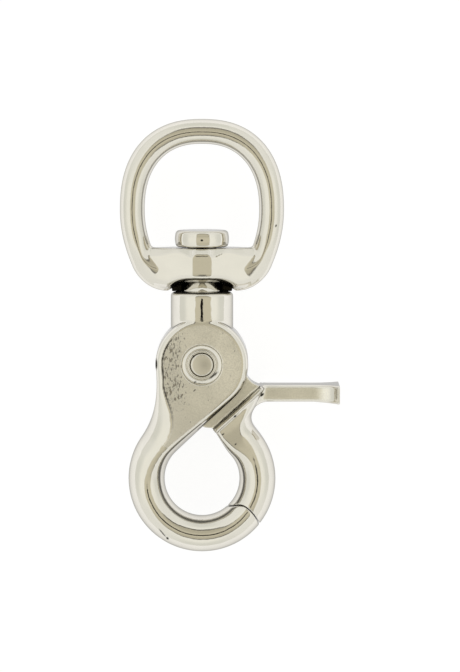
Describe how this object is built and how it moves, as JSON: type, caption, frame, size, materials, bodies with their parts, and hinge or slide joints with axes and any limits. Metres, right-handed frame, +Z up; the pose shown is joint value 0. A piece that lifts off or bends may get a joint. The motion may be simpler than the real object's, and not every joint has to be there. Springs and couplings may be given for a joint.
{
  "type": "swivel snap hook",
  "caption": "Plated cast snap hook with a swivelling strap eye and a sprung gate lever that a thumb tab pulls open.",
  "frame": {"origin": "on the pivot rivet's axis, in the plane of the cheeks' back face that the hook lies on", "axes": "+X across towards the thumb tab, +Y along towards the strap eye, +Z up out of the front cheek"},
  "size_m": [0.0366, 0.0723, 0.0106],
  "materials": {
    "nickel_cast": "bright nickel plate over zinc casting, satin where the casting is flat",
    "nickel_turned": "bright nickel plate over turned steel",
    "spring_wire": "plain drawn spring wire"
  },
  "bodies": {
    "hook": {"hook_body": "nickel_cast", "swivel_stud": "nickel_turned", "pivot_rivet": "nickel_turned", "gate_spring": "spring_wire"},
    "eye": {"swivel_eye": "nickel_cast"},
    "gate": {"gate_lever": "nickel_cast"}
  },
  "joints": [
    {"name": "eye_swivel", "type": "hinge", "parent": "hook", "child": "eye", "pos_m": [0, 0.0155, 0.0053], "axis": [0, 1, 0], "continuous": true},
    {"name": "gate_pivot", "type": "hinge", "parent": "hook", "child": "gate", "pos_m": [0, 0, 0.0053], "axis": [0, 0, 1], "range_deg": [0, 25], "stiffness_Nm_per_rad": 0.057, "springref_deg": -20.05, "deforming": ["gate_spring"]}
  ]
}
